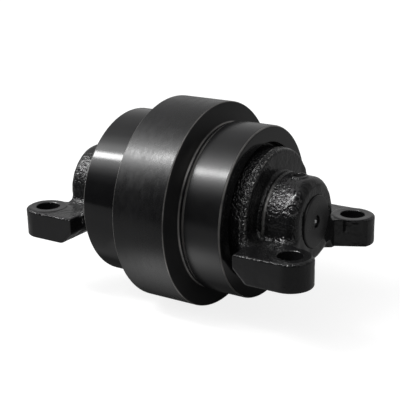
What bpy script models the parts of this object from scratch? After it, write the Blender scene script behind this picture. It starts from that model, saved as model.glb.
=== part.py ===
"""Track roller: a centre-flange bottom roller on a fixed shaft held by two end collars.

Frame: the origin is the roller's centre, +X runs along the shaft axis, +Z is up and the
mounting faces look down. Lengths are in metres.
"""

import math

import bmesh
import bpy
from mathutils import Matrix

GAP = 0.0003            # between pieces that touch
RUNNING_GAP = 0.0004    # between each bushing and the journal that turns in it
THRUST_GAP = 0.0005     # end float between each bushing and its collar
CUT_OVER = 0.001        # how far a cutter runs past the face it cuts
CUTTER_SPAN = 0.3       # a cutter's length where only its place and section matter
MERGE = 0.00001         # points this near each other are one point
WELD = 0.00005

# Roller shell
FLANGE_RADIUS = 0.120
FLANGE_HALF_WIDTH = 0.0336
FLANGE_TAPER = 0.0044       # how much wider each side of the flange is at its root
TREAD_RADIUS = 0.099
TREAD_START = 0.0466
ROOT_RADIUS = 0.0962
ROOT_WIDTH = 0.004          # undercut between each flange side and its tread
ROOT_CHAMFER = 0.0011
SHELL_HALF_LENGTH = 0.092
SHELL_EDGE = 0.0018
SHELL_MOUTH = 0.001         # chamfer at the mouth of each end recess
RECESS_RADIUS = 0.0802
RECESS_FLOOR = 0.078
OIL_SPACE_RADIUS = 0.046
OIL_SPACE_HALF = 0.015
OIL_SPACE_SLOPE = 0.002

# Shaft
JOURNAL_RADIUS = 0.036
SHAFT_END_RADIUS = 0.030
SHAFT_HALF_LENGTH = 0.157
SHAFT_CHAMFER = 0.0015
SHOULDER = 0.0672
GALLERY_RADIUS = 0.005
CROSS_DRILL_RADIUS = 0.0035
O_RING_X = 0.100
O_RING_WIRE = 0.0017
O_RING_GROOVE_DEPTH = 0.0036
O_RING_GROOVE_WIDTH = 0.0052

# Bushings
BUSHING_WALL = 0.0057
BUSHING_START = 0.018
BUSHING_FLANGE_START = 0.062
BUSHING_FLANGE_END = 0.067
BUSHING_FLANGE_RADIUS = 0.050

# Floating seals: each pair of rings meets at SEAL_PLANE
SEAL_PLANE = 0.079
SEAL_RING_INNER = 0.0465
SEAL_RING_BODY = 0.0535
SEAL_RING_LIP = 0.0613
SEAL_RING_LENGTH = 0.0095
SEAL_LIP_THICKNESS = 0.0024
SEAL_BORE = 0.062
SEAL_POCKET_DEPTH = 0.0106
TORIC_WIRE = 0.00375
TORIC_RADIUS = 0.05775
TORIC_SETBACK = 0.0066

# Collars
NOSE_RADIUS = 0.044
DISC_RADIUS = 0.0758
DISC_INNER = 0.080
DISC_OUTER = 0.110
DISC_EDGE = 0.0045
BOSS_RADIUS = 0.049
BOSS_ROOT = 0.008
BOSS_END = 0.155
BOSS_EDGE = 0.012
FOOT_INNER = 0.1095
FOOT_FRONT = 0.1545
FOOT_BOTTOM = -0.046
PAD_TOP = -0.0125
PAD_RAISE = 0.0012
PAD_RADIUS = 0.0230
PAD_DEPTH = 0.010           # how far the pad's drum reaches down into the ear
EAR_HOLE_X = 0.1645
EAR_HOLE_Y = 0.0767
EAR_HOLE_RADIUS = 0.014
EAR_RADIUS = 0.0258
EAR_INNER_FILLET = 0.016
FOOT_CHAMFER = 0.015
EAR_SIDES = {"front": -EAR_HOLE_Y, "rear": EAR_HOLE_Y}

FOOT_CORE_RADIUS = (SHAFT_END_RADIUS + BOSS_RADIUS - BOSS_EDGE) / 2

# Lock pins, which stand upright and sink a little below the top of each boss
PIN_X = 0.134
PIN_RADIUS = 0.0067
PIN_TOP = 0.0445
PIN_BOTTOM = 0.013
PIN_TURN = math.radians(7)      # keeps the drill's corners off the boss's own edges

# Fill plugs, each a shouldered disc with a round nipple in its middle
PLUG_HEAD_RADIUS = 0.0067
PLUG_SHANK_RADIUS = 0.0047
PLUG_TOP = 0.1562
PLUG_FACE = 0.1548
PLUG_SHOULDER = 0.1523
PLUG_TAIL = 0.139
PLUG_NIPPLE_RADIUS = 0.0022
PLUG_NIPPLE_EDGE = 0.0008
PLUG_BORE_RADIUS = 0.007
PLUG_BORE_FLOOR = 0.150
PLUG_RING_WIRE = 0.00085
PLUG_RING_RADIUS = 0.00585

SHELL_STEPS = 48
COLLAR_STEPS = 32
ROUND_STEPS = 28
RING_STEPS = 24
HOLE_STEPS = 24
SMALL_STEPS = 12
PIN_STEPS = 16

COLOURS = {
    "black_paint": ((0.012, 0.012, 0.013), 0.22, 0.0),
    "cast_black_paint": ((0.014, 0.014, 0.015), 0.35, 0.0),
    "shaft_steel": ((0.020, 0.020, 0.021), 0.30, 0.6),
    "bronze": ((0.55, 0.33, 0.13), 0.35, 1.0),
    "seal_iron": ((0.30, 0.30, 0.31), 0.25, 1.0),
    "rubber": ((0.015, 0.015, 0.015), 0.70, 0.0),
    "plug_steel": ((0.05, 0.05, 0.052), 0.30, 0.8),
}


def clear_scene():
    for obj in list(bpy.data.objects):
        bpy.data.objects.remove(obj, do_unlink=True)


def new_collection(name):
    collection = bpy.data.collections.new(name)
    bpy.context.scene.collection.children.link(collection)
    return collection


def material_for(name, finish):
    """A Principled material of the piece's own, in one of the finishes above."""
    colour, roughness, metallic = COLOURS[finish]
    material = bpy.data.materials.new(name)
    material.use_nodes = True
    shader = material.node_tree.nodes["Principled BSDF"]
    shader.inputs["Base Color"].default_value = (*colour, 1.0)
    shader.inputs["Roughness"].default_value = roughness
    shader.inputs["Metallic"].default_value = metallic
    material.diffuse_color = (*colour, 1.0)
    return material


def add_object(name, mesh, collection, parent=None):
    obj = bpy.data.objects.new(name, mesh)
    collection.objects.link(obj)
    obj.parent = parent
    return obj


def add_frame(name, collection, turn):
    """An empty on the shaft axis. turn is its rotation about Z: half a turn for the left end."""
    frame = bpy.data.objects.new(name, None)
    frame.rotation_euler = (0, 0, turn)
    collection.objects.link(frame)
    return frame


def finish_piece(obj, finish):
    obj.data.materials.clear()
    obj.data.materials.append(material_for(obj.name, finish))


def arc(centre, radius, start_deg, end_deg, pieces):
    """Points of an arc in (x, y), both ends included."""
    points = []
    for step in range(pieces + 1):
        angle = math.radians(start_deg + (end_deg - start_deg) * step / pieces)
        points.append((centre[0] + radius * math.cos(angle), centre[1] + radius * math.sin(angle)))
    return points


def turned(name, profile, collection, parent, steps, closed=True):
    """A profile of (distance along the axis, radius) spun about X, listed from the +X end inwards
    along its outer side. A closed profile is a ring; an open one starts and ends on the axis."""
    mesh = bpy.data.meshes.new(name)
    count = len(profile)
    edges = [(i, (i + 1) % count) for i in range(count if closed else count - 1)]
    mesh.from_pydata([(radius, 0, along) for along, radius in profile], edges, [])
    obj = add_object(name, mesh, collection, parent)
    obj.rotation_euler = (0, math.pi / 2, 0)
    screw = obj.modifiers.new("Screw", "SCREW")
    screw.axis = "Z"
    screw.angle = 2 * math.pi
    screw.steps = screw.render_steps = steps
    screw.use_merge_vertices = True
    screw.merge_threshold = MERGE
    return obj


def ring(name, along, radius, wire, collection, parent, steps, sides=6):
    """A round-section ring about X."""
    section = arc((along, radius), wire, 0, 360 * (sides - 1) / sides, sides - 1)
    return turned(name, section, collection, parent, steps)


def drum(name, radius, length, steps, collection, parent=None, matrix=Matrix()):
    """A plain cylinder along its own Z, from 0 to length, placed by matrix."""
    work = bmesh.new()
    bmesh.ops.create_cone(work, cap_ends=True, segments=steps, radius1=radius, radius2=radius, depth=length)
    bmesh.ops.translate(work, vec=(0, 0, length / 2), verts=work.verts)
    mesh = bpy.data.meshes.new(name)
    work.to_mesh(mesh)
    work.free()
    obj = add_object(name, mesh, collection, parent)
    obj.matrix_local = matrix
    return obj


def block(name, low, high, collection, parent=None, matrix=Matrix()):
    """A box between two corners."""
    work = bmesh.new()
    bmesh.ops.create_cube(work, size=1)
    size = [b - a for a, b in zip(low, high)]
    bmesh.ops.scale(work, vec=size, verts=work.verts)
    bmesh.ops.translate(work, vec=[(a + b) / 2 for a, b in zip(low, high)], verts=work.verts)
    mesh = bpy.data.meshes.new(name)
    work.to_mesh(mesh)
    work.free()
    obj = add_object(name, mesh, collection, parent)
    obj.matrix_local = matrix
    return obj


def plate(name, outline, low, high, collection, parent):
    """A flat outline in XY, filled between the heights low and high, as a mesh."""
    curve = bpy.data.curves.new(name, "CURVE")
    curve.dimensions = "2D"
    curve.fill_mode = "BOTH"
    curve.extrude = (high - low) / 2
    spline = curve.splines.new("POLY")
    spline.points.add(len(outline) - 1)
    for point, (x, y) in zip(spline.points, outline):
        point.co = (x, y, 0, 1)
    spline.use_cyclic_u = True
    drawn = add_object(name + "_outline", curve, collection)
    bpy.context.view_layer.update()
    evaluated = drawn.evaluated_get(bpy.context.evaluated_depsgraph_get())
    mesh = bpy.data.meshes.new_from_object(evaluated)
    bpy.data.objects.remove(drawn, do_unlink=True)
    work = bmesh.new()
    work.from_mesh(mesh)
    bmesh.ops.remove_doubles(work, verts=work.verts, dist=MERGE)
    bmesh.ops.translate(work, vec=(0, 0, (low + high) / 2), verts=work.verts)
    bmesh.ops.recalc_face_normals(work, faces=work.faces)
    work.to_mesh(mesh)
    work.free()
    mesh.name = name
    return add_object(name, mesh, collection, parent)


def combine(obj, tool, operation):
    """Adds tool to obj, or cuts it out, and keeps tool out of the finished object."""
    modifier = obj.modifiers.new(tool.name, "BOOLEAN")
    modifier.operation = operation
    modifier.solver = "EXACT"
    modifier.object = tool
    tool.hide_render = True
    tool.display_type = "WIRE"


def weld(obj):
    """Merges the near-double points that Boolean cuts leave."""
    modifier = obj.modifiers.new("Weld", "WELD")
    modifier.merge_threshold = WELD


def shell_profile():
    """The roller shell's closed half profile, mirrored about its middle."""
    seal_floor = SEAL_PLANE - SEAL_POCKET_DEPTH
    bore = JOURNAL_RADIUS + RUNNING_GAP + BUSHING_WALL + GAP
    flange_bore = BUSHING_FLANGE_RADIUS + 2 * GAP
    groove_x = FLANGE_HALF_WIDTH + FLANGE_TAPER
    outer = [
        (SHELL_HALF_LENGTH, RECESS_RADIUS + SHELL_MOUTH),
        (SHELL_HALF_LENGTH, TREAD_RADIUS - SHELL_EDGE),
        (SHELL_HALF_LENGTH - SHELL_EDGE, TREAD_RADIUS),
        (TREAD_START, TREAD_RADIUS),
        (groove_x + ROOT_WIDTH, ROOT_RADIUS),
        (groove_x + ROOT_CHAMFER, ROOT_RADIUS),
        (groove_x, ROOT_RADIUS + ROOT_CHAMFER),
        (FLANGE_HALF_WIDTH, FLANGE_RADIUS - SHELL_EDGE),
        (FLANGE_HALF_WIDTH - SHELL_EDGE, FLANGE_RADIUS),
    ]
    inner = [
        (OIL_SPACE_HALF, OIL_SPACE_RADIUS),
        (OIL_SPACE_HALF + OIL_SPACE_SLOPE, bore),
        (BUSHING_FLANGE_START - GAP, bore),
        (BUSHING_FLANGE_START - GAP, flange_bore),
        (seal_floor, flange_bore),
        (seal_floor, SEAL_BORE),
        (RECESS_FLOOR, SEAL_BORE),
        (RECESS_FLOOR, RECESS_RADIUS),
        (SHELL_HALF_LENGTH - SHELL_MOUTH, RECESS_RADIUS),
    ]
    left_outer = [(-x, r) for x, r in reversed(outer)]
    left_inner = [(-x, r) for x, r in reversed(inner)]
    return outer + left_outer + left_inner + inner


def make_shell(parts, roller):
    shell = turned("roller_shell", shell_profile(), parts, roller, SHELL_STEPS)
    finish_piece(shell, "black_paint")


def make_bushing(name, parts, frame):
    inner = JOURNAL_RADIUS + RUNNING_GAP
    outer = inner + BUSHING_WALL
    profile = [
        (BUSHING_FLANGE_END, inner),
        (BUSHING_FLANGE_END, BUSHING_FLANGE_RADIUS),
        (BUSHING_FLANGE_START, BUSHING_FLANGE_RADIUS),
        (BUSHING_FLANGE_START, outer),
        (BUSHING_START, outer),
        (BUSHING_START, inner),
    ]
    finish_piece(turned(name, profile, parts, frame, ROUND_STEPS), "bronze")


def make_seal_half(prefix, label, outward, parts, frame):
    """One metal ring and its rubber toric. outward is 1 on the fixed side and -1 on the turning side."""
    face = SEAL_PLANE + outward * GAP / 2
    lip = face + outward * SEAL_LIP_THICKNESS
    back = face + outward * SEAL_RING_LENGTH
    profile = [
        (back, SEAL_RING_INNER),
        (back, SEAL_RING_BODY),
        (lip, SEAL_RING_BODY),
        (lip, SEAL_RING_LIP),
        (face, SEAL_RING_LIP),
        (face, SEAL_RING_INNER),
    ]
    if outward < 0:
        profile.reverse()
    metal = turned(f"{prefix}_seal_ring_{label}", profile, parts, frame, RING_STEPS)
    finish_piece(metal, "seal_iron")
    along = SEAL_PLANE + outward * TORIC_SETBACK
    toric = ring(f"{prefix}_seal_toric_{label}", along, TORIC_RADIUS, TORIC_WIRE, parts, frame, RING_STEPS)
    finish_piece(toric, "rubber")


def shaft_profile():
    groove = SHAFT_END_RADIUS - O_RING_GROOVE_DEPTH
    groove_half = O_RING_GROOVE_WIDTH / 2
    outer = [
        (SHAFT_HALF_LENGTH, PLUG_BORE_RADIUS),
        (SHAFT_HALF_LENGTH, SHAFT_END_RADIUS - SHAFT_CHAMFER),
        (SHAFT_HALF_LENGTH - SHAFT_CHAMFER, SHAFT_END_RADIUS),
        (O_RING_X + groove_half, SHAFT_END_RADIUS),
        (O_RING_X + groove_half, groove),
        (O_RING_X - groove_half, groove),
        (O_RING_X - groove_half, SHAFT_END_RADIUS),
        (SHOULDER, SHAFT_END_RADIUS),
        (SHOULDER, JOURNAL_RADIUS),
    ]
    inner = [(PLUG_BORE_FLOOR, GALLERY_RADIUS), (PLUG_BORE_FLOOR, PLUG_BORE_RADIUS)]
    left_outer = [(-x, r) for x, r in reversed(outer)]
    left_inner = [(-x, r) for x, r in reversed(inner)]
    return outer + left_outer + left_inner + inner


def pin_place(height):
    return Matrix.Translation((PIN_X, 0, height)) @ Matrix.Rotation(PIN_TURN, 4, "Z")


def pin_drill(name, cutters, frame):
    """The blind hole that one lock pin sits in, down through the boss and into the shaft."""
    at = pin_place(PIN_BOTTOM - GAP)
    return drum(name, PIN_RADIUS + GAP, CUTTER_SPAN, PIN_STEPS, cutters, frame, at)


def make_shaft(parts, cutters, fixed, ends):
    shaft = turned("roller_shaft", shaft_profile(), parts, fixed, ROUND_STEPS)
    along_y = Matrix.Rotation(math.pi / 2, 4, "X") @ Matrix.Translation((0, 0, -CUTTER_SPAN / 2))
    cross = drum("cross_drill", CROSS_DRILL_RADIUS, CUTTER_SPAN, SMALL_STEPS, cutters, fixed, along_y)
    combine(shaft, cross, "DIFFERENCE")
    for label, frame in ends.items():
        combine(shaft, pin_drill(f"shaft_pin_drill_{label}", cutters, frame), "DIFFERENCE")
    finish_piece(shaft, "shaft_steel")


def collar_profile():
    """Nose, seal pocket, disc and boss of one end collar, bored for the shaft."""
    bore = SHAFT_END_RADIUS + GAP
    edge = arc((DISC_OUTER - DISC_EDGE, DISC_RADIUS - DISC_EDGE), DISC_EDGE, 0, 90, 3)
    root = arc((DISC_OUTER + BOSS_ROOT, BOSS_RADIUS + BOSS_ROOT), BOSS_ROOT, 270, 180, 3)
    boss_edge = arc((BOSS_END - BOSS_EDGE, BOSS_RADIUS - BOSS_EDGE), BOSS_EDGE, 0, 90, 5)
    pocket_floor = SEAL_PLANE + SEAL_POCKET_DEPTH
    nose_end = BUSHING_FLANGE_END + THRUST_GAP
    inside = [
        (DISC_INNER, DISC_RADIUS),
        (DISC_INNER, SEAL_BORE),
        (pocket_floor, SEAL_BORE),
        (pocket_floor, NOSE_RADIUS),
        (nose_end, NOSE_RADIUS),
        (nose_end, bore),
        (BOSS_END - SHAFT_CHAMFER, bore),
        (BOSS_END, bore + SHAFT_CHAMFER),
    ]
    return boss_edge + root + edge + inside


def foot_outline():
    """The foot seen from above: a bar from ear to ear with each outer corner round its bolt hole."""
    reach = EAR_HOLE_X - (FOOT_FRONT + EAR_INNER_FILLET)
    span = EAR_RADIUS + EAR_INNER_FILLET
    rise = math.sqrt(span * span - reach * reach)
    meet = math.degrees(math.atan2(rise, -reach))
    fillet_centre = (FOOT_FRONT + EAR_INNER_FILLET, rise - EAR_HOLE_Y)
    ear = arc((EAR_HOLE_X, -EAR_HOLE_Y), EAR_RADIUS, -90, meet, 12)
    fillet = arc(fillet_centre, EAR_INNER_FILLET, 180 + meet, 180, 5)[1:]
    half = [(FOOT_INNER, -EAR_HOLE_Y - EAR_RADIUS), *ear, *fillet]
    return half + [(x, -y) for x, y in reversed(half)]


def make_foot(label, cutters, frame):
    """The foot with its lower inner corner cut away and a raised pad round each bolt hole. It is
    hollow where the boss stands, so that it joins the boss inside the boss's own wall."""
    top = PAD_TOP - PAD_RAISE
    foot = plate(f"foot_{label}", foot_outline(), FOOT_BOTTOM - CUT_OVER, top, cutters, frame)
    corner = Matrix.Translation((FOOT_INNER, 0, FOOT_BOTTOM)) @ Matrix.Rotation(-math.pi / 4, 4, "Y")
    half = FOOT_CHAMFER / math.sqrt(2)
    reach = 2 * FOOT_CHAMFER
    high = (half, CUTTER_SPAN / 2, reach)
    low = [-size for size in high]
    combine(foot, block(f"foot_corner_{label}", low, high, cutters, frame, corner), "DIFFERENCE")
    along_x = Matrix.Rotation(math.pi / 2, 4, "Y")
    core = drum(f"foot_core_{label}", FOOT_CORE_RADIUS, CUTTER_SPAN, ROUND_STEPS, cutters, frame, along_x)
    combine(foot, core, "DIFFERENCE")
    for side, place in EAR_SIDES.items():
        at = Matrix.Translation((EAR_HOLE_X, place, PAD_TOP - PAD_DEPTH))
        pad = drum(f"pad_{label}_{side}", PAD_RADIUS, PAD_DEPTH, RING_STEPS, cutters, frame, at)
        combine(foot, pad, "UNION")
    weld(foot)
    return foot


def make_collar(label, parts, cutters, frame):
    collar = turned(f"collar_{label}", collar_profile(), parts, frame, COLLAR_STEPS)
    combine(collar, make_foot(label, cutters, frame), "UNION")
    low = (DISC_OUTER + GAP / 2, -CUTTER_SPAN / 2, -CUTTER_SPAN / 2)
    high = (CUTTER_SPAN, CUTTER_SPAN / 2, FOOT_BOTTOM)
    combine(collar, block(f"underside_{label}", low, high, cutters, frame), "DIFFERENCE")
    for side, place in EAR_SIDES.items():
        at = Matrix.Translation((EAR_HOLE_X, place, -CUTTER_SPAN / 2))
        name = f"bolt_hole_{label}_{side}"
        hole = drum(name, EAR_HOLE_RADIUS, CUTTER_SPAN, HOLE_STEPS, cutters, frame, at)
        combine(collar, hole, "DIFFERENCE")
    combine(collar, pin_drill(f"collar_pin_drill_{label}", cutters, frame), "DIFFERENCE")
    weld(collar)
    finish_piece(collar, "cast_black_paint")


def make_lock_pin(label, parts, frame):
    height = PIN_TOP - PIN_BOTTOM
    pin = drum(f"lock_pin_{label}", PIN_RADIUS, height, PIN_STEPS, parts, frame, pin_place(PIN_BOTTOM))
    finish_piece(pin, "plug_steel")


def make_plug(label, parts, frame):
    """The oil plug in the end of the shaft, with its own sealing ring behind its shoulder."""
    profile = [
        (PLUG_TOP, 0),
        (PLUG_TOP, PLUG_NIPPLE_RADIUS - PLUG_NIPPLE_EDGE),
        (PLUG_TOP - PLUG_NIPPLE_EDGE, PLUG_NIPPLE_RADIUS),
        (PLUG_FACE, PLUG_NIPPLE_RADIUS),
        (PLUG_FACE, PLUG_HEAD_RADIUS),
        (PLUG_SHOULDER, PLUG_HEAD_RADIUS),
        (PLUG_SHOULDER, PLUG_SHANK_RADIUS),
        (PLUG_TAIL, PLUG_SHANK_RADIUS),
        (PLUG_TAIL, 0),
    ]
    plug = turned(f"fill_plug_{label}", profile, parts, frame, PIN_STEPS, closed=False)
    finish_piece(plug, "plug_steel")
    along = (PLUG_SHOULDER + PLUG_BORE_FLOOR) / 2
    seal = ring(f"plug_o_ring_{label}", along, PLUG_RING_RADIUS, PLUG_RING_WIRE, parts, frame, SMALL_STEPS)
    finish_piece(seal, "rubber")


def make_shaft_ring(label, parts, frame):
    middle = SHAFT_END_RADIUS + GAP / 2 - O_RING_GROOVE_DEPTH / 2
    seal = ring(f"shaft_o_ring_{label}", O_RING_X, middle, O_RING_WIRE, parts, frame, RING_STEPS)
    finish_piece(seal, "rubber")


def main():
    clear_scene()
    parts = new_collection("track_roller")
    cutters = new_collection("cutters")
    roller = add_frame("roller_frame", parts, 0)
    fixed = add_frame("fixed_frame", parts, 0)
    turns = {"left": math.pi, "right": 0.0}
    ends = {label: add_frame(f"end_frame_{label}", parts, turn) for label, turn in turns.items()}
    make_shell(parts, roller)
    make_shaft(parts, cutters, fixed, ends)
    for label, frame in ends.items():
        make_bushing(f"bushing_{label}", parts, frame)
        make_seal_half("rotating", label, -1, parts, frame)
        make_seal_half("fixed", label, 1, parts, frame)
        make_collar(label, parts, cutters, frame)
        make_shaft_ring(label, parts, frame)
        make_lock_pin(label, parts, frame)
        make_plug(label, parts, frame)
    for obj in parts.objects:
        if obj.type == "MESH":
            obj.data.shade_smooth()
            obj.data.set_sharp_from_angle(angle=math.radians(30))


main()
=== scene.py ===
"""Track roller: the finished look of every piece, on a pale studio floor.

Lengths are in metres. X runs along the shaft; turned shapes are profiles of (x, radius), and the
cast collars are smooth distance fields meshed by a surface net.
"""

import math

import bpy
import numpy as np
from mathutils import Matrix, Vector


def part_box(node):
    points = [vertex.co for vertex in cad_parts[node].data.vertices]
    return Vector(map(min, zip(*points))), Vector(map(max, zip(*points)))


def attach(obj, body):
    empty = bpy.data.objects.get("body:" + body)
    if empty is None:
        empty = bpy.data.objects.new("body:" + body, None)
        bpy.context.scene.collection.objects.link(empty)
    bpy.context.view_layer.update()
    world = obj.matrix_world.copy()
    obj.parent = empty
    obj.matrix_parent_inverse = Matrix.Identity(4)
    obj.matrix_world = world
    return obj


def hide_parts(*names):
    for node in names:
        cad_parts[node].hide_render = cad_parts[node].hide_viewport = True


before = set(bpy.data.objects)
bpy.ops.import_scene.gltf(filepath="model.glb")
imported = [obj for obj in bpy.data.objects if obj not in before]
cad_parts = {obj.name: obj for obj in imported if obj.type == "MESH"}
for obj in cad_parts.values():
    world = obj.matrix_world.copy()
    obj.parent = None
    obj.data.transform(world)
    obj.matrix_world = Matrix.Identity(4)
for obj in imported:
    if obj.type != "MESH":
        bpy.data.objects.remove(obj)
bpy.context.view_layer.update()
RNG = np.random.default_rng(7)

# Sizes of the shell and the shaft, as the CAD model has them
SHELL_LOW, SHELL_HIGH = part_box("roller_shell")
COLLAR_LOW, COLLAR_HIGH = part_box("collar_right")
SHAFT_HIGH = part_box("roller_shaft")[1]
FLANGE_RADIUS = SHELL_HIGH.z
SHELL_HALF = SHELL_HIGH.x
FLANGE_HALF_WIDTH = 0.0336
FLANGE_FOOT_X = 0.038
TREAD_RADIUS = 0.099
TREAD_START = 0.0466
ROOT_RADIUS = 0.0962
RECESS_RADIUS = 0.0802
RECESS_FLOOR = 0.078
JOURNAL_RADIUS = SHAFT_HIGH.z
SHAFT_END = SHAFT_HIGH.x
SHAFT_RADIUS = 0.030
SHOULDER = 0.0672

# The floating seals, the bushings and the O-rings
SEAL_PLANE = 0.079
SEAL_BORE = 0.062
SEAL_FLOOR_DEPTH = 0.0106
SEAL_INNER, SEAL_NECK, SEAL_OUTER = 0.0465, 0.0535, 0.0613
SEAL_FACE_GAP, SEAL_LIP, SEAL_BACK = 0.00015, 0.00255, 0.00965
TORIC_OFFSET, TORIC_RADIUS, TORIC_WIRE = 0.0066, 0.05775, 0.00375
BUSHING_OUTER, BUSHING_FLANGE_RADIUS = 0.0421, 0.050
BUSHING_START, BUSHING_FLANGE_X, BUSHING_END = 0.018, 0.062, 0.067
O_RING_X, O_RING_RADIUS, O_RING_WIRE = 0.100, 0.02835, 0.0017
PLUG_RING_X, PLUG_RING_RADIUS, PLUG_RING_WIRE = 0.15115, 0.00585, 0.00085

# The lock pin, upright in the boss, and the plug in the shaft's end
PIN_X, PIN_HOLE = 0.134, 0.007
PIN_TOP, PIN_FOOT, PIN_RADIUS = 0.0445, 0.013, 0.0067
LAND_RADIUS, LAND_MIDDLE, LAND_HALF = 0.0098, 0.040, 0.0102     # the raised land round the pin's hole
PLUG_TOP, PLUG_HEAD, PLUG_SEAT, PLUG_FOOT = 0.1562, 0.1548, 0.1523, 0.139
NIPPLE_RADIUS, PLUG_HEAD_RADIUS, PLUG_SHANK_RADIUS = 0.0022, 0.0067, 0.0047

# The right collar: seal disc, boss, and foot with its two ears
DISC_INNER, DISC_OUTER, DISC_RADIUS, DISC_EDGE = 0.080, 0.110, 0.0758, 0.0042
NOSE_END, NOSE_RADIUS = COLLAR_LOW.x, 0.044
BOSS_END, BOSS_RADIUS, BOSS_EDGE = 0.155, 0.049, 0.0115
FOOT_INNER, FOOT_FRONT, FOOT_BOTTOM, FOOT_EDGE = 0.1095, 0.1545, -0.046, 0.0025
HEEL_CUT, TOE_CUT, TOE_HALF_WIDTH = 0.0152, 0.009, 0.036
PAD_TOP, PAD_RADIUS, PAD_HEIGHT, SEAT_RADIUS = -0.0125, 0.023, 0.0006, 0.0195
EAR_X, EAR_Y, EAR_HOLE, EAR_RADIUS = 0.1645, 0.0767, 0.014, 0.0258
RIM_RIDGE, ROOT_RIDGE, RIM_CORNER = 0.1030, 0.1168, 0.1087      # x of the fine ridges and of the rim's edge
LUMP, PIP = (0.1485, 127), (0.1480, 150)        # cast marks on the boss: x, degrees round from +Y

CAST_STEP, QUICK_CAST_STEP = 0.00095, 0.0022    # cells of the cast surface
UPRIGHT = Matrix.Rotation(-math.pi / 2, 4, "Y")     # turns a profile's own X to point up


# ---------------------------------------------------------------- meshes

def new_piece(name, vertices, faces, body=None):
    mesh = bpy.data.meshes.new(name)
    mesh.from_pydata([tuple(v) for v in vertices], [], [tuple(f) for f in faces])
    mesh.validate()
    obj = bpy.data.objects.new(name, mesh)
    bpy.context.scene.collection.objects.link(obj)
    if body:
        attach(obj, body)
    return obj


def smooth(obj, degrees=32):
    obj.data.shade_smooth()
    obj.data.set_sharp_from_angle(angle=math.radians(degrees))


def rounded(corners, closed=True, step_deg=9):
    """Points of an outline whose corners are (x, y, radius): each corner becomes an arc."""
    points = []
    count = len(corners)
    for i, (x, y, radius) in enumerate(corners):
        if not closed and i in (0, count - 1) or radius == 0:
            points.append((x, y))
            continue
        here = Vector((x, y))
        back = (Vector(corners[i - 1][:2]) - here).normalized()
        ahead = (Vector(corners[(i + 1) % count][:2]) - here).normalized()
        half = math.acos(max(-1, min(1, back.dot(ahead)))) / 2
        centre = here + (back + ahead).normalized() * (radius / math.sin(half))
        start = here + back * (radius / math.tan(half)) - centre
        turn = math.pi - 2 * half
        if back.x * ahead.y - back.y * ahead.x > 0:
            turn = -turn
        steps = max(2, math.ceil(math.degrees(abs(turn)) / step_deg))
        for k in range(steps + 1):
            angle = turn * k / steps
            arm = Vector((start.x * math.cos(angle) - start.y * math.sin(angle),
                          start.x * math.sin(angle) + start.y * math.cos(angle)))
            points.append(tuple(centre + arm))
    return points


def turned(name, profile, body, steps=128, closed=True):
    """A profile of (x, radius) spun about X. An open profile starts and ends on the axis."""
    angles = np.arange(steps) * 2 * math.pi / steps
    rows = profile if closed else profile[1:-1]
    rings = [np.column_stack([np.full(steps, x), r * np.cos(angles), r * np.sin(angles)]) for x, r in rows]
    vertices = list(np.concatenate(rings))
    faces = []
    count = len(rows)
    following = np.roll(np.arange(steps), -1)
    for i in range(count if closed else count - 1):
        a, b = i * steps, (i + 1) % count * steps
        faces += [(a + k, b + k, b + n, a + n) for k, n in enumerate(following)]
    if not closed:
        first, last = len(vertices), len(vertices) + 1
        vertices += [(profile[0][0], 0, 0), (profile[-1][0], 0, 0)]
        end = (count - 1) * steps
        faces += [(first, k, n) for k, n in enumerate(following)]
        faces += [(end + n, end + k, last) for k, n in enumerate(following)]
    obj = new_piece(name, vertices, faces, body)
    outward(obj)
    smooth(obj)
    return obj


def outward(obj):
    """Turns the faces out if the closed mesh holds a negative volume."""
    mesh = obj.data
    mesh.calc_loop_triangles()
    points = np.empty(len(mesh.vertices) * 3)
    mesh.vertices.foreach_get("co", points)
    corners = np.empty(len(mesh.loop_triangles) * 3, int)
    mesh.loop_triangles.foreach_get("vertices", corners)
    a, b, c = (points.reshape(-1, 3)[corners.reshape(-1, 3)[:, i]] for i in range(3))
    if np.einsum("ij,ij->i", a, np.cross(b, c)).sum() < 0:
        mesh.flip_normals()


def cut(obj, tool, operation="DIFFERENCE"):
    """Cuts tool out of obj, or joins it, and keeps only the result."""
    modifier = obj.modifiers.new("cut", "BOOLEAN")
    modifier.operation = operation
    modifier.solver = "MANIFOLD"
    modifier.object = tool
    bpy.context.view_layer.update()
    evaluated = obj.evaluated_get(bpy.context.evaluated_depsgraph_get())
    mesh = bpy.data.meshes.new_from_object(evaluated)
    obj.modifiers.clear()
    old = obj.data
    obj.data = mesh
    bpy.data.meshes.remove(old)
    bpy.data.objects.remove(tool, do_unlink=True)


def drill(name, profile, matrix, steps=96):
    """A turned cutter about its own X, placed by matrix. Its profile is (along, radius), open."""
    obj = turned(name, profile, None, steps, closed=False)
    obj.data.transform(matrix)
    return obj


def mirrored_profile(half):
    """The closed profile whose right half, from the outer middle round to the inner middle, is given."""
    return half + [(-x, r, fillet) for x, r, fillet in reversed(half)]


# ---------------------------------------------------------------- distance fields

def join(a, b, blend):
    """The union of two fields, with a fillet about blend wide."""
    share = np.clip(0.5 + 0.5 * (b - a) / blend, 0, 1)
    return b + (a - b) * share - blend * share * (1 - share)


def meet(a, b, blend):
    """The part inside both fields, with its edge rounded."""
    return -join(-a, -b, blend)


def slab(a, b, edge):
    """What lies inside both half widths a and b (distances beyond each), with a round edge."""
    outside = np.hypot(np.maximum(a + edge, 0), np.maximum(b + edge, 0))
    return outside + np.minimum(np.maximum(a + edge, b + edge), 0) - edge


def rectangle(x, y, low_x, high_x, low_y, high_y):
    dx = np.maximum(low_x - x, x - high_x)
    dy = np.maximum(low_y - y, y - high_y)
    return np.hypot(np.maximum(dx, 0), np.maximum(dy, 0)) + np.minimum(np.maximum(dx, dy), 0)


def hill(distance, width):
    """A smooth hill of height 1 where the distance is 0, down to 0.37 at width."""
    return np.exp(-(distance / width) ** 2)


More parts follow.
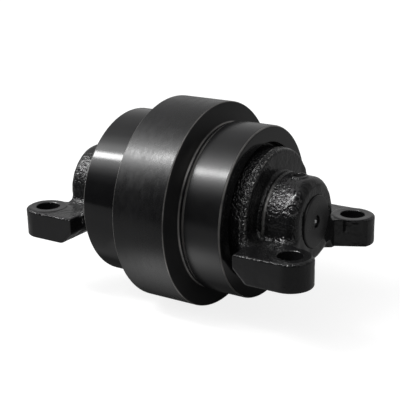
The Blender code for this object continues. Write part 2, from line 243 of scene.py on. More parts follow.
def foot_field(x, y, z):
    """The bar with an ear at each end, from above a rounded outline and from the side a slab."""
    away = np.abs(y)
    ear = rectangle(x, away, FOOT_INNER, EAR_X, EAR_Y - EAR_RADIUS, EAR_Y + EAR_RADIUS)
    ear = np.minimum(ear, np.hypot(x - EAR_X, away - EAR_Y) - EAR_RADIUS)
    bar = rectangle(x, away, FOOT_INNER, FOOT_FRONT, -0.01, EAR_Y)
    plan = join(ear, bar, 0.016)
    half = (PAD_TOP - PAD_HEIGHT - FOOT_BOTTOM) / 2
    foot = slab(plan, np.abs(z - FOOT_BOTTOM - half) - half, FOOT_EDGE)
    heel = ((FOOT_INNER + HEEL_CUT - x) + (FOOT_BOTTOM - z)) / math.sqrt(2)
    foot = meet(foot, heel, 0.003)
    toe = ((x - FOOT_FRONT + TOE_CUT) + (FOOT_BOTTOM - z)) / math.sqrt(2)
    return meet(foot, toe - np.maximum(away - TOE_HALF_WIDTH, 0) * 1.2, 0.008)


def collar_field(x, y, z):
    """One end collar, at the +X end, before its holes and bores are cut."""
    radial = np.hypot(y, z)
    middle, half = (DISC_INNER + DISC_OUTER) / 2, (DISC_OUTER - DISC_INNER) / 2
    ridge = 0.0005 * hill(x - RIM_RIDGE, 0.0009)
    disc = slab(radial - DISC_RADIUS - ridge, np.abs(x - middle) - half, DISC_EDGE)
    draft = 0.0012 * (BOSS_END - x) / (BOSS_END - DISC_OUTER) - 0.0004
    boss = slab(radial - BOSS_RADIUS - draft, x - BOSS_END, BOSS_EDGE)
    boss = np.maximum(boss, DISC_INNER + 0.004 - x)
    pin_land = slab(np.hypot(x - PIN_X, y) - LAND_RADIUS, np.abs(z - LAND_MIDDLE) - LAND_HALF, 0.0012)
    boss = join(boss, pin_land, 0.003) - 0.0012 * hill(x - ROOT_RIDGE, 0.0015)
    body = join(disc, boss, 0.004)
    fillet = 0.004 + 0.012 * np.clip((0.160 - x) / 0.014, 0, 1)
    whole = join(body, foot_field(x, y, z), fillet)
    # between the ears, nothing stands past the boss's end face
    whole = meet(whole, x - BOSS_END - 2 * np.maximum(np.abs(y) - BOSS_RADIUS - 0.001, 0), 0.001)
    pad = slab(np.hypot(x - EAR_X, np.abs(y) - EAR_Y) - PAD_RADIUS, np.abs(z - PAD_TOP + 0.008) - 0.008,
               0.0006)
    whole = join(whole, pad, 0.0012)
    # and the foot's underside is flat
    above_foot = np.maximum(z - FOOT_BOTTOM, DISC_OUTER + 0.0008 - x)
    return meet(whole, -above_foot, 0.0015)


def on_boss(x, degrees):
    """The point of the boss at x, the given angle round from +Y."""
    angle = math.radians(degrees)
    return x, BOSS_RADIUS * math.cos(angle), BOSS_RADIUS * math.sin(angle)


def surface_detail(points):
    """How far the sand casting stands off its true shape: grain, lumps by the foot, two cast marks."""
    x, y, z = points.T
    radial = np.hypot(y, z)
    angle = np.arctan2(z, y)
    off_seat = np.clip((np.hypot(x - EAR_X, np.abs(y) - EAR_Y) - PAD_RADIUS) / 0.002, 0, 1)
    rough = np.where(z > PAD_TOP - 0.004, off_seat, 1.0) * np.clip((x - DISC_INNER - 0.014) / 0.006, 0, 1)
    rough *= np.where(x > DISC_OUTER + 0.001, np.clip((z - FOOT_BOTTOM) / 0.003, 0, 1), 1.0)
    rough *= 0.6 + 0.4 * np.clip((0.095 - np.abs(y)) / 0.02, 0, 1)
    sand = 0.00016 * grain(points, 0.0040) + 0.00045 * grain(points, 0.013)
    by_foot = hill(radial - 0.058, 0.010) * hill(z + 0.008, 0.010) * (x > DISC_OUTER - 0.002)
    sand += (0.0008 * grain(points, 0.0065) + 0.0005 * grain(points, 0.0035)) * by_foot
    from_lump = np.hypot((x - LUMP[0]) / 0.0045, radial * (angle - math.radians(LUMP[1])) / 0.0075)
    lump = 0.0030 * hill(from_lump, 0.75) - 0.0018 * hill(from_lump, 0.34)
    from_pip = np.hypot(x - PIP[0], radial * (angle - math.radians(PIP[1])))
    pip = 0.0013 * hill(from_pip, 0.0020) - 0.0008 * hill(from_pip - 0.0042, 0.0013)
    return rough * sand + (lump + pip) * (x > 0.136)


def surface_net(field, low, step):
    """(points, quads) of the field's zero level: one point in each cell that it crosses."""
    size = np.array(field.shape)
    cells = size - 1
    inside = field < 0
    total = np.zeros((cells.prod(), 3))
    hits = np.zeros(cells.prod())
    crossings = []
    for axis in range(3):
        near = [slice(None)] * 3
        far = [slice(None)] * 3
        near[axis], far[axis] = slice(None, -1), slice(1, None)
        node = np.argwhere(inside[tuple(near)] != inside[tuple(far)])
        step_on = np.eye(3, dtype=int)[axis]
        a = field[tuple(node.T)]
        b = field[tuple((node + step_on).T)]
        point = node + np.outer(a / (a - b), step_on)
        b_axis, c_axis = np.eye(3, dtype=int)[(axis + 1) % 3], np.eye(3, dtype=int)[(axis + 2) % 3]
        around = [node - b_axis - c_axis, node - c_axis, node, node - b_axis]
        flat = [np.ravel_multi_index(tuple(cell.T), tuple(cells)) for cell in around]
        for index in flat:
            hits += np.bincount(index, minlength=len(hits))
            for k in range(3):
                total[:, k] += np.bincount(index, weights=point[:, k], minlength=len(hits))
        quad = np.column_stack(flat)
        crossings.append(np.where((a < 0)[:, None], quad, quad[:, ::-1]))
    used = np.flatnonzero(hits)
    number = np.full(len(hits), -1)
    number[used] = np.arange(len(used))
    points = low + step * total[used] / hits[used][:, None]
    return points, number[np.concatenate(crossings)]


def gradient(function, points, reach=0.00008):
    columns = []
    for axis in np.eye(3) * reach:
        columns.append((function(*(points + axis).T) - function(*(points - axis).T)) / (2 * reach))
    return np.column_stack(columns)


def settle(function, points, rounds=4):
    """Moves the points onto the field's zero level."""
    for _ in range(rounds):
        slope = gradient(function, points)
        points = points - slope * (function(*points.T) / np.maximum((slope ** 2).sum(1), 0.2))[:, None]
    return points


def grain(points, wavelength, size=48):
    """Smooth noise between -1 and 1 at the points, from a repeating block of random values."""
    block = RNG.uniform(-1, 1, (size, size, size))
    place = points / wavelength
    base = np.floor(place).astype(int)
    part = place - base
    part = part * part * (3 - 2 * part)
    value = np.zeros(len(points))
    for corner in np.ndindex(2, 2, 2):
        share = np.prod(np.where(corner, part, 1 - part), axis=1)
        value += share * block[tuple(((base + corner) % size).T)]
    return value


# ---------------------------------------------------------------- materials

class Graph:
    """The nodes of a material or a world, added one at a time."""

    def __init__(self, owner):
        owner.use_nodes = True
        self.owner = owner
        self.tree = owner.node_tree
        self.coordinates = self.add("ShaderNodeTexCoord").outputs
        self.place = self.coordinates["Object"]

    def add(self, kind, **values):
        node = self.tree.nodes.new(kind)
        for key, value in values.items():
            setattr(node, key, value)
        return node

    def link(self, output, socket):
        self.tree.links.new(output, socket)

    def feed(self, socket, value):
        if isinstance(value, bpy.types.NodeSocket):
            self.link(value, socket)
        else:
            socket.default_value = value

    def noise(self, scale, detail=3.0, roughness=0.5, vector=None):
        node = self.add("ShaderNodeTexNoise")
        self.link(vector or self.place, node.inputs["Vector"])
        node.inputs["Scale"].default_value = scale
        node.inputs["Detail"].default_value = detail
        node.inputs["Roughness"].default_value = roughness
        return node.outputs["Fac"]

    def math(self, operation, first, second=0.0):
        node = self.add("ShaderNodeMath", operation=operation)
        self.feed(node.inputs[0], first)
        self.feed(node.inputs[1], second)
        return node.outputs[0]

    def product(self, first, *others):
        for value in others:
            first = self.math("MULTIPLY", first, value)
        return first

    def toward(self, value, target, share):
        """value, moved the given share of the way to target."""
        return self.math("ADD", value, self.product(self.math("SUBTRACT", target, value), share))

    def span(self, value, low, high, start=0.0, end=1.0):
        """value remapped from start..end to low..high, held at its ends."""
        node = self.add("ShaderNodeMapRange")
        self.link(value, node.inputs["Value"])
        for key, number in (("From Min", start), ("From Max", end), ("To Min", low), ("To Max", high)):
            node.inputs[key].default_value = number
        return node.outputs["Result"]

    def band(self, value, centre, width):
        """1 within about width of the centre, falling to 0."""
        away = self.math("ABSOLUTE", self.math("SUBTRACT", value, centre))
        return self.span(away, 1.0, 0.0, 0.5 * width, 1.2 * width)

    def blend(self, share, colour, other):
        """colour, with a share of another colour mixed in."""
        node = self.add("ShaderNodeMix", data_type="RGBA")
        self.link(share, node.inputs[0])
        for socket, value in ((node.inputs[6], colour), (node.inputs[7], other)):
            self.feed(socket, (*value, 1) if isinstance(value, tuple) else value)
        return node.outputs[2]

    def parts(self, vector):
        """The x, y and z of a vector."""
        node = self.add("ShaderNodeSeparateXYZ")
        self.link(vector, node.inputs[0])
        return node.outputs["X"], node.outputs["Y"], node.outputs["Z"]

    def vector(self, *values):
        """A vector of up to three parts; those left out are 0."""
        node = self.add("ShaderNodeCombineXYZ")
        for socket, value in zip(node.inputs, values):
            self.link(value, socket)
        return node.outputs[0]

    def length(self, a, b):
        """The length of a vector whose two parts are a and b."""
        return self.math("SQRT", self.math("ADD", self.product(a, a), self.product(b, b)))

    def facing(self, axis):
        """How far the true surface faces along an axis, either way: 1 is square on."""
        return self.math("ABSOLUTE", self.parts(self.coordinates["Normal"])["xyz".index(axis)])

    def wrapped(self, across, around):
        """A vector that follows the cylinder, stretched by the two factors."""
        x, y, z = self.parts(self.place)
        return self.vector(self.product(x, across), self.product(self.math("ARCTAN2", z, y), around))

    def ramp(self, value, stops):
        """value looked up between (position, level) stops."""
        node = self.add("ShaderNodeValToRGB")
        self.link(value, node.inputs[0])
        elements = node.color_ramp.elements
        elements[0].position, elements[1].position = stops[0][0], stops[-1][0]
        for position, _ in stops[1:-1]:
            elements.new(position)
        for element, (_, level) in zip(elements, stops):
            element.color = (level, level, level, 1)
        return node.outputs["Color"]

    def bump(self, height, distance, strength, under=None):
        node = self.add("ShaderNodeBump")
        self.link(height, node.inputs["Height"])
        node.inputs["Distance"].default_value = distance
        self.feed(node.inputs["Strength"], strength)
        if under is not None:
            self.link(under, node.inputs["Normal"])
        return node.outputs["Normal"]

    def finish(self, colour, roughness, normal, metallic=0.0):
        inputs = self.tree.nodes["Principled BSDF"].inputs
        self.feed(inputs["Base Color"], colour)
        self.feed(inputs["Roughness"], roughness)
        self.feed(inputs["Metallic"], metallic)
        self.link(normal, inputs["Normal"])
        return self.owner


def paint(name):
    return Graph(bpy.data.materials.new(name))


def shell_paint():
    """Gloss black paint over turned steel: scuffed on the flange, worn to the metal along the edges."""
    g = paint("shell_paint")
    x = g.parts(g.place)[0]
    along = g.math("ABSOLUTE", x)
    worn = g.span(g.noise(26, 4, 0.6), 0.0, 1.0, 0.35, 0.7)
    scuffs = g.span(g.noise(1.0, 5, 0.65, g.wrapped(160, 9)), 0.0, 1.0, 0.42, 0.68)
    on_flange = g.span(along, 1.0, 0.0, FLANGE_HALF_WIDTH - 0.001, FLANGE_HALF_WIDTH + 0.001)
    # the far tread is glossier than the near one
    rough = g.span(x, 0.11, 0.22, -0.060, 0.060)
    rough = g.math("ADD", rough, g.product(scuffs, on_flange, 0.10))
    rough = g.math("ADD", rough, g.product(on_flange, g.span(x, 0.12, 0.02, -0.010, 0.022)))
    rough = g.math("ADD", rough, g.product(worn, 0.03))
    # the flange's flat sides are duller than the treads, and the shell's flat ends shinier
    side = g.facing("x")
    on_flat = g.span(side, 0.0, 1.0, 0.8, 0.98)
    change = g.span(along, 2.2, 0.5, 0.060, 0.062)
    rough = g.toward(rough, g.product(rough, change), on_flat)
    # paint worn off the rounded edges, in lengths
    on_edge = g.product(g.span(side, 0.0, 1.0, 0.25, 0.45), g.span(side, 1.0, 0.0, 0.80, 0.95))
    bare = g.product(on_edge, g.span(g.noise(30, 3), 0.25, 0.9, 0.35, 0.65))
    colour = g.blend(worn, (0.005, 0.005, 0.0055), (0.008, 0.008, 0.0085))
    colour = g.blend(bare, colour, (0.34, 0.33, 0.32))
    rough = g.toward(rough, 0.5, bare)
    normal = g.bump(g.noise(1.0, 2, 0.5, g.wrapped(1500, 1.5)), 0.00002, 0.35)
    normal = g.bump(g.noise(330, 2), 0.00004, 0.35, normal)
    normal = g.bump(scuffs, 0.00010, g.product(on_flange, 0.35), normal)
    return g.finish(colour, rough, normal, bare)


def pebbling(g, x, y, z, root):
    """Where the casting is pebbled: round the boss, and little on the flat faces and the cast marks."""
    side = g.facing("y")
    pebbled = g.product(g.span(side, 0.3, 1.0, 0.20, 0.45), g.span(side, 1.0, 0.25, 0.97, 0.995))
    off_seat = g.math("ABSOLUTE", g.math("SUBTRACT", z, PAD_TOP))
    pebbled = g.product(pebbled, g.span(off_seat, 0.3, 1.0, 0.0003, 0.0007),
                        g.span(z, 0.2, 1.0, PAD_TOP - 0.003, PAD_TOP - 0.001))
    # the left collar is the right one turned half round, so its marks are looked up there
    as_right = g.vector(g.math("ABSOLUTE", x), g.product(y, g.math("SIGN", x)), z)
    for mark, reach in ((LUMP, 0.0085), (PIP, 0.0045)):
        gap = g.add("ShaderNodeVectorMath", operation="DISTANCE")
        g.link(as_right, gap.inputs[0])
        gap.inputs[1].default_value = on_boss(*mark)
        pebbled = g.product(pebbled, g.span(gap.outputs["Value"], 0.0, 1.0, 0.8 * reach, reach))
    return g.product(pebbled, g.math("SUBTRACT", 1.0, root))


def cast_paint():
    """Gloss black paint over a sand casting: pebbled, duller by the boss's root, worn on its ridges."""
    g = paint("cast_paint")
    x, y, z = g.parts(g.place)
    along = g.math("ABSOLUTE", x)
    radius = g.length(y, z)
    # the ridges that are worn to the metal: round the boss's root and on the disc's rim, above the foot
    root = g.product(g.band(along, ROOT_RIDGE, 0.0019), g.span(radius, 1.0, 0.0, 0.054, 0.056),
                     g.span(z, 0.0, 1.0, -0.008, 0.0), g.span(z, 1.0, 0.1, 0.038, 0.045))
    rim = g.math("MAXIMUM", g.band(along, RIM_RIDGE, 0.0008), g.band(along, RIM_CORNER, 0.0008))
    rim = g.product(rim, g.span(radius, 0.0, 1.0, 0.0735, 0.0745), g.span(z, 0.0, 1.0, -0.010, -0.002),
                    g.span(g.noise(260, 2), 0.0, 0.6, 0.45, 0.60))
    bare = g.product(g.math("MAXIMUM", root, rim), g.span(g.noise(90, 3), 0.35, 1.0, 0.35, 0.60))
    from_pin = g.length(g.math("SUBTRACT", along, PIN_X), y)
    in_pin_hole = g.product(g.span(from_pin, 1.0, 0.0, PIN_HOLE + 0.0001, PIN_HOLE + 0.0005),
                            g.span(z, 0.0, 1.0, 0.0, 0.002))
    patches = g.noise(45, 4, 0.6)
    colour = g.blend(patches, (0.006, 0.006, 0.0065), (0.011, 0.011, 0.0115))
    colour = g.blend(bare, colour, (0.42, 0.41, 0.40))
    dull = g.product(g.span(along, 0.07, 0.0, 0.128, 0.138), g.span(radius, 1.0, 0.0, 0.054, 0.058))
    rough = g.math("ADD", g.span(patches, 0.09, 0.17, 0.3, 0.7), dull)
    rough = g.math("MAXIMUM", rough, g.product(in_pin_hole, 0.9))
    rough = g.toward(rough, 0.42, bare)
    pebbled = pebbling(g, x, y, z, root)
    normal = g.bump(g.noise(120, 2, 0.5), 0.0012, g.product(pebbled, 0.45))
    pitted = g.product(pebbled, g.span(radius, 0.8, 1.7, 0.068, 0.073))
    normal = g.bump(g.noise(380, 1.0, 0.5), 0.0014, pitted, normal)
    return g.finish(colour, rough, normal, bare)


def shaft_paint():
    """Black paint over the shaft's turned end."""
    g = paint("shaft_paint")
    _, y, z = g.parts(g.place)
    worn = g.noise(60, 4, 0.6)
    colour = g.blend(worn, (0.007, 0.007, 0.0075), (0.014, 0.014, 0.0145))
    rings = g.noise(1.0, 2, 0.5, g.vector(g.product(g.length(y, z), 1800)))
    normal = g.bump(rings, 0.00003, 0.4)
    normal = g.bump(g.noise(300, 3), 0.00008, 0.4, normal)
    return g.finish(colour, g.span(worn, 0.24, 0.36, 0.3, 0.7), normal)


def turned_metal(name, dark, light, rough_low, rough_high):
    """Bare metal with fine machining marks round the shaft."""
    g = paint(name)
    mottled = g.noise(70, 5, 0.6)
    marks = g.noise(1.0, 3, 0.6, g.wrapped(1200, 2.0))
    rough = g.span(mottled, rough_low, rough_high, 0.3, 0.7)
    return g.finish(g.blend(mottled, dark, light), rough, g.bump(marks, 0.00004, 0.5), 1.0)


def plug_finish():
    """Black paint on the plug's head, with a bright steel nipple in the middle."""
    g = paint("plug_steel")
    _, y, z = g.parts(g.place)
    bare = g.span(g.length(y, z), 1.0, 0.0, NIPPLE_RADIUS + 0.00005, NIPPLE_RADIUS + 0.0004)
    mottled = g.noise(300, 4, 0.6)
    steel = g.blend(mottled, (0.62, 0.62, 0.63), (0.82, 0.82, 0.83))
    colour = g.blend(bare, (0.006, 0.006, 0.0065), steel)
    rough = g.span(mottled, 0.22, 0.36, 0.3, 0.7)
    return g.finish(colour, rough, g.bump(g.noise(900, 3), 0.00003, 0.5), bare)


def rubber():
    g = paint("seal_rubber")
    dusty = g.noise(120, 5, 0.65)
    colour = g.blend(dusty, (0.010, 0.010, 0.010), (0.024, 0.023, 0.022))
    return g.finish(colour, g.span(dusty, 0.55, 0.8, 0.3, 0.7), g.bump(g.noise(900, 3), 0.00005, 0.5))


def dress(obj, material, slot):
    obj.data.materials.clear()
    obj.data.materials.append(material)


# ---------------------------------------------------------------- pieces

def make_shell(material):
    bore, oil_room, oil_end = JOURNAL_RADIUS + 0.0064, 0.046, 0.015
    flange_seat, flange_bore = BUSHING_FLANGE_X - 0.0003, BUSHING_FLANGE_RADIUS + 0.0006
    floor = SEAL_PLANE - SEAL_FLOOR_DEPTH
    half = [
        (oil_end, oil_room, 0.0015), (oil_end + 0.002, bore, 0.001),
        (flange_seat, bore, 0.0003), (flange_seat, flange_bore, 0.0005),
        (floor, flange_bore, 0.0005), (floor, SEAL_BORE, 0.002), (RECESS_FLOOR, SEAL_BORE, 0.0015),
        (RECESS_FLOOR, RECESS_RADIUS, 0.003), (SHELL_HALF, RECESS_RADIUS, 0.0010),
        (SHELL_HALF, TREAD_RADIUS, 0.0028), (TREAD_START, TREAD_RADIUS, 0.0025),
        (FLANGE_FOOT_X + 0.0042, ROOT_RADIUS, 0.0022), (FLANGE_FOOT_X, ROOT_RADIUS, 0.0026),
        (FLANGE_HALF_WIDTH, FLANGE_RADIUS, 0.0018),
    ]
    shell = turned("shell", rounded(mirrored_profile(half), step_deg=7), "roller", 288)
    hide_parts("roller_shell")
    dress(shell, material, "shell_paint")


def collar_cuts():
    """The bore, the seal pocket, the bolt holes with their seats and the pin hole of one collar."""
    bore, mouth = SHAFT_RADIUS + 0.0002, 0.0003
    far, near = 0.2, 0.05
    bore_profile = [(far, 0), (far, bore + mouth + 0.045), (BOSS_END - mouth, bore), (near, bore), (near, 0)]
    yield drill("bore", bore_profile, Matrix())
    floor = SEAL_PLANE + SEAL_FLOOR_DEPTH
    pocket = rounded([(floor, NOSE_RADIUS, 0.001), (floor, SEAL_BORE, 0.002), (0.07, SEAL_BORE, 0),
                      (0.07, NOSE_RADIUS, 0)])
    yield turned("pocket", pocket, None, 192)
    bevel, flare, flare_depth = 0.0007, 0.005, 0.004
    bolt_hole = rounded([
        (0.03, 0, 0), (0.03, SEAT_RADIUS, 0), (PAD_TOP, SEAT_RADIUS, 0.001), (PAD_TOP, EAR_HOLE + bevel, 0),
        (PAD_TOP - bevel, EAR_HOLE, 0), (FOOT_BOTTOM + 0.001, EAR_HOLE, 0),
        (FOOT_BOTTOM - flare_depth, EAR_HOLE + flare, 0), (FOOT_BOTTOM - flare_depth, 0, 0),
    ], closed=False)
    for side in (-1, 1):
        yield drill("bolt_hole", bolt_hole, Matrix.Translation((EAR_X, side * EAR_Y, 0)) @ UPRIGHT)
    top, mouth_top, mouth_end, end = 0.07, 0.0498, 0.0490, PIN_FOOT - 0.0002
    pin_hole = [(top, 0), (top, 0.0150), (mouth_top, PIN_HOLE + 0.0006), (mouth_end, PIN_HOLE),
                (end, PIN_HOLE), (end, 0)]
    yield drill("pin_hole", pin_hole, Matrix.Translation((PIN_X, 0, 0)) @ UPRIGHT, 72)


def nose_part():
    """The collar's nose, which reaches in past the seal rings to the bushing."""
    root = DISC_INNER + 0.015
    corners = [(root, 0, 0), (root, NOSE_RADIUS, 0), (NOSE_END, NOSE_RADIUS, 0.001), (NOSE_END, 0, 0)]
    return turned("nose", rounded(corners, closed=False), None, 192, closed=False)


def cast_surface():
    """(points, quads) of the collar's cast surface, with the sand's roughness in it."""
    step = CAST_STEP
    half_width, half_height = 0.106, 0.080
    low = np.array([0.0765, -half_width, -half_height])
    high = np.array([COLLAR_HIGH.x + 0.003, half_width, half_height])
    axes = [np.arange(a, b, step) for a, b in zip(low, high)]
    x, y, z = np.meshgrid(*axes, indexing="ij", sparse=True)
    field = collar_field(x, y, z)
    points, quads = surface_net(field, low, step)
    points = settle(collar_field, points)
    slope = gradient(collar_field, points)
    normal = slope / np.linalg.norm(slope, axis=1)[:, None]
    points = points + normal * surface_detail(points)[:, None]
    points[:, 0] = np.minimum(points[:, 0], COLLAR_HIGH.x)
    points[:, 1] = np.clip(points[:, 1], COLLAR_LOW.y, COLLAR_HIGH.y)
    return points, quads


def make_collars(material):
    """The right collar, and the left one as its copy turned half round."""
    points, quads = cast_surface()
    right = new_piece("end_collar_right", points, quads)
    outward(right)
    cut(right, nose_part(), "UNION")
    for tool in collar_cuts():
        cut(right, tool)
    smooth(right, 40)
    left = right.copy()
    left.data = right.data.copy()
    left.name = left.data.name = "end_collar_left"
    bpy.context.scene.collection.objects.link(left)
    left.data.transform(Matrix.Rotation(math.pi, 4, "Z"))
    for obj, label in ((left, "left"), (right, "right")):
        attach(obj, "fixed")
        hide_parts(f"collar_{label}")
        dress(obj, material, "collar_paint")


def make_shaft(material):
    groove = SHAFT_RADIUS - 0.0036
    groove_low, groove_high = O_RING_X - 0.0026, O_RING_X + 0.0026
    head_floor, plug_bore, head_bore = 0.150, 0.005, 0.007
    half = [
        (head_floor, plug_bore, 0), (head_floor, head_bore, 0),
        (SHAFT_END, head_bore, 0.0006), (SHAFT_END, SHAFT_RADIUS, 0.0017),
        (groove_high, SHAFT_RADIUS, 0.0003), (groove_high, groove, 0.0005), (groove_low, groove, 0.0005),
        (groove_low, SHAFT_RADIUS, 0.0003), (SHOULDER, SHAFT_RADIUS, 0.0006),
        (SHOULDER, JOURNAL_RADIUS, 0.0015),
    ]
    shaft = turned("shaft", rounded(mirrored_profile(half)), "fixed", 144)
    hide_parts("roller_shaft")
    dress(shaft, material, "shaft_paint")


def make_ends(pin_material, plug_material):
    """The lock pin and the fill plug of each end."""
    pin_profile = rounded([(PIN_TOP, 0, 0), (PIN_TOP, PIN_RADIUS, 0.0012), (PIN_FOOT, PIN_RADIUS, 0.0005),
                           (PIN_FOOT, 0, 0)], closed=False)
    plug_profile = rounded([
        (PLUG_TOP, 0, 0), (PLUG_TOP, NIPPLE_RADIUS, 0.0012), (PLUG_HEAD, NIPPLE_RADIUS, 0.0003),
        (PLUG_HEAD, PLUG_HEAD_RADIUS, 0.0006), (PLUG_SEAT, PLUG_HEAD_RADIUS, 0.0003),
        (PLUG_SEAT, PLUG_SHANK_RADIUS, 0.0003), (PLUG_FOOT, PLUG_SHANK_RADIUS, 0.0008), (PLUG_FOOT, 0, 0),
    ], closed=False)
    for label, turn in (("left", math.pi), ("right", 0.0)):
        spin = Matrix.Rotation(turn, 4, "Z")
        pin = drill(f"pin_{label}", pin_profile, spin @ Matrix.Translation((PIN_X, 0, 0)) @ UPRIGHT, 72)
        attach(pin, "fixed")
        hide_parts(f"lock_pin_{label}")
        dress(pin, pin_material, "pin_paint")
        plug = drill(f"plug_{label}", plug_profile, spin, 96)
        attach(plug, "fixed")
        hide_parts(f"fill_plug_{label}")
        dress(plug, plug_material, "plug_steel")


def circle(x, radius, wire, sides=24):
    """The round section of a ring: its middle at (x, radius), its wire's radius given."""
    angles = [2 * math.pi * k / sides for k in range(sides)]
    return [(x + wire * math.cos(a), radius + wire * math.sin(a)) for a in angles]


def make_internals(bronze, iron, soft):
    """The bushings, floating seals and O-rings, each a smooth turned ring."""
    inner = JOURNAL_RADIUS + 0.0004
    bushing = rounded([
        (BUSHING_END, inner, 0.0006), (BUSHING_END, BUSHING_FLANGE_RADIUS, 0.0006),
        (BUSHING_FLANGE_X, BUSHING_FLANGE_RADIUS, 0.0006), (BUSHING_FLANGE_X, BUSHING_OUTER, 0.0004),
        (BUSHING_START, BUSHING_OUTER, 0.0010), (BUSHING_START, inner, 0.0006),
    ])
    face, lip, back = SEAL_PLANE + SEAL_FACE_GAP, SEAL_PLANE + SEAL_LIP, SEAL_PLANE + SEAL_BACK
    seal = [(back, SEAL_INNER, 0.0006), (back, SEAL_NECK, 0.0008), (lip, SEAL_NECK, 0.0015),
            (lip, SEAL_OUTER, 0.0008), (face, SEAL_OUTER, 0.0004), (face, SEAL_INNER, 0.0004)]
    inward = [(2 * SEAL_PLANE - x, r, fillet) for x, r, fillet in seal]
    outer_toric = circle(SEAL_PLANE + TORIC_OFFSET, TORIC_RADIUS, TORIC_WIRE)
    inner_toric = circle(SEAL_PLANE - TORIC_OFFSET, TORIC_RADIUS, TORIC_WIRE)
    shaft_ring = circle(O_RING_X, O_RING_RADIUS, O_RING_WIRE)
    plug_ring = circle(PLUG_RING_X, PLUG_RING_RADIUS, PLUG_RING_WIRE)
    rings = [
        ("bushing", "roller", bushing, bronze, "bushing_bronze", 128),
        ("fixed_seal_ring", "fixed", rounded(seal), iron, "seal_iron", 128),
        ("rotating_seal_ring", "roller", rounded(inward), iron, "seal_iron", 128),
        ("fixed_seal_toric", "fixed", outer_toric, soft, "seal_rubber", 128),
        ("rotating_seal_toric", "roller", inner_toric, soft, "seal_rubber", 128),
        ("shaft_o_ring", "fixed", shaft_ring, soft, "seal_rubber", 128),
        ("plug_o_ring", "fixed", plug_ring, soft, "seal_rubber", 48),
    ]
    for name, body, profile, material, slot, steps in rings:
        for label, sign in (("left", -1), ("right", 1)):
            piece = turned(f"{name}_smooth_{label}", [(sign * x, r) for x, r in profile], body, steps)
            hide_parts(f"{name}_{label}")
            dress(piece, material, slot)


# ---------------------------------------------------------------- stage

def make_floor():
    """To the camera, a wide white sheet. Reflections see a painted glow instead: painted light, even out to
    0.7 m in front, with a painted shadow under the roller and a brighter painted patch of light close to it,
    and even behind, with the same painted shadow under the roller."""
    size, z = 12.0, SHELL_LOW.z
    corners = [(-size, -size, z), (size, -size, z), (size, size, z), (-size, size, z)]
    floor = new_piece("floor", corners, [(0, 1, 2, 3)])
    g = paint("floor_paper")
    x, y, _ = g.parts(g.place)
    # how far out from under the shaft: across it, or along it past 0.1 m
    away = g.math("MAXIMUM", g.math("ABSOLUTE", y), g.math("SUBTRACT", g.math("ABSOLUTE", x), 0.10))
    # painted light that the sheet gives off to reflections: a painted shadow under the roller, even out to
    # 0.7 m, dark past its edge
    sheet = g.ramp(away, [(0.0, 0.02), (0.06, 0.06), (0.085, 0.26), (0.30, 0.29), (0.70, 0.24), (0.76, 0.01)])
    # a brighter painted patch of light on the floor close to the roller, fading out towards -X and dimmer
    # towards +X
    painted_light_pool = g.ramp(away, [(0.085, 0.0), (0.105, 0.33), (0.135, 0.90), (0.170, 0.92), (0.195, 0.50),
                         (0.230, 0.15), (0.30, 0.0)])
    painted_light_pool = g.product(painted_light_pool, g.span(x, 0.0, 1.0, -0.13, -0.05), g.span(x, 1.0, 0.2, 0.0, 0.14))
    # the painted light in front is dimmer towards +X
    front = g.product(g.math("ADD", sheet, painted_light_pool), g.span(x, 1.0, 0.65, 0.04, 0.20))
    # painted light behind, with the same painted shadow under the roller
    back = g.ramp(away, [(0.0, 0.02), (0.07, 0.05), (0.12, 0.22), (0.25, 0.26), (0.45, 0.25), (0.9, 0.25),
                         (1.0, 0.2)])
    behind = g.span(g.math("ADD", y, g.product(x, 0.6)), 0.0, 1.0, 0.02, 0.30)
    glow = g.toward(front, back, behind)
    seen = g.add("ShaderNodeLightPath").outputs["Is Camera Ray"]
    grey = g.product(seen, g.span(g.noise(6, 3), 0.29, 0.31))
    colour = g.add("ShaderNodeCombineColor")
    for socket in colour.inputs[:3]:
        g.link(grey, socket)
    shader = g.tree.nodes["Principled BSDF"]
    g.link(colour.outputs[0], shader.inputs["Base Color"])
    shader.inputs["Roughness"].default_value = 0.9
    shader.inputs["Specular IOR Level"].default_value = 0.0
    shader.inputs["Emission Color"].default_value = (1, 1, 1, 1)
    # the floor glows with the painted light in reflections, and near white to the camera
    g.link(g.toward(glow, 0.84, seen), shader.inputs["Emission Strength"])
    floor.data.materials.append(g.owner)


def make_world():
    """The studio that reflections see, by angle round the roller's axis; the camera sees plain white."""
    world = bpy.data.worlds.new("studio")
    bpy.context.scene.world = world
    g = Graph(world)
    background = g.tree.nodes["Background"]
    background.inputs["Color"].default_value = (1, 1, 1, 1)
    x, y, z = g.parts(g.coordinates["Generated"])
    turn = g.product(g.math("ARCTAN2", z, g.product(y, -1)), 1 / math.pi)
    # degrees up from the front: dark low down, a glow round the softbox, dim overhead and behind
    degrees = [(0, 0.004), (20, 0.01), (31, 0.06), (40, 0.26), (50, 0.75), (62, 1.00), (72, 0.86), (82, 0.38),
               (95, 0.17), (110, 0.12), (135, 0.065), (180, 0.045)]
    glow = g.ramp(turn, [(degree / 180, level) for degree, level in degrees])
    near_end = g.span(x, 1.0, 0.25, -0.35, 0.10)
    far_wall = g.span(y, 0.0, 0.30, 0.3, 0.9)
    above_floor = g.span(z, 0.0, 1.0, -0.02, 0.02)
    lit = g.product(above_floor, g.math("ADD", g.product(glow, near_end, 4.0), far_wall))
    seen = g.add("ShaderNodeLightPath").outputs["Is Camera Ray"]
    g.link(g.toward(lit, 1.0, seen), background.inputs["Strength"])


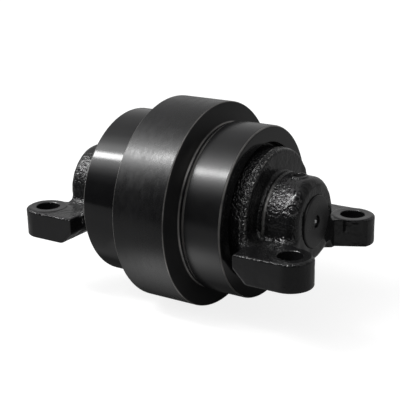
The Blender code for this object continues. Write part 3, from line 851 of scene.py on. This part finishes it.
def strip_light(name, degrees, across, distance, length, height, radiance):
    """A softbox along X, the given degrees up from the front, that faces the roller."""
    light = bpy.data.lights.new(name, "AREA")
    light.shape = "RECTANGLE"
    light.size, light.size_y = length, height
    light.energy = math.pi * length * height * radiance
    obj = bpy.data.objects.new(name, light)
    tilt = math.radians(degrees)
    away = Vector((across, -math.cos(tilt), math.sin(tilt))).normalized()
    along = (Vector((1, 0, 0)) - away * away.x).normalized()
    basis = Matrix((along, away.cross(along), away)).transposed().to_4x4()
    obj.matrix_world = Matrix.Translation(away * distance) @ basis
    bpy.context.scene.collection.objects.link(obj)


def make_camera():
    """The photograph's view: from the front and the right end, a little above, and slightly tilted."""
    azimuth, elevation, roll = math.radians(33.1), math.radians(18.1), math.radians(-1.06)
    distance = 1.1964
    back = Vector((math.sin(azimuth) * math.cos(elevation), -math.cos(azimuth) * math.cos(elevation),
                   math.sin(elevation)))
    right = (-back).cross(Vector((0, 0, 1))).normalized()
    up = right.cross(-back)
    turned_right = right * math.cos(roll) + up * math.sin(roll)
    turned_up = up * math.cos(roll) - right * math.sin(roll)
    aim = right * 0.0035 - up * 0.0004
    camera = bpy.data.cameras.new("camera")
    camera.sensor_width = 36
    camera.lens = 91.4
    obj = bpy.data.objects.new("camera", camera)
    basis = Matrix((turned_right, turned_up, back)).transposed().to_4x4()
    obj.matrix_world = Matrix.Translation(aim + back * distance) @ basis
    bpy.context.scene.collection.objects.link(obj)
    bpy.context.scene.camera = obj


def main():
    make_shell(shell_paint())
    make_collars(cast_paint())
    painted = shaft_paint()
    make_shaft(painted)
    make_ends(painted, plug_finish())
    bronze = turned_metal("bushing_bronze", (0.45, 0.26, 0.10), (0.62, 0.40, 0.18), 0.25, 0.45)
    iron = turned_metal("seal_iron", (0.24, 0.24, 0.25), (0.38, 0.38, 0.39), 0.2, 0.4)
    make_internals(bronze, iron, rubber())
    make_floor()
    make_world()
    strip_light("softbox", 58, -0.52, 1.5, 0.90, 0.17, 21)
    make_camera()
    bpy.context.scene.view_settings.view_transform = "Standard"


main()
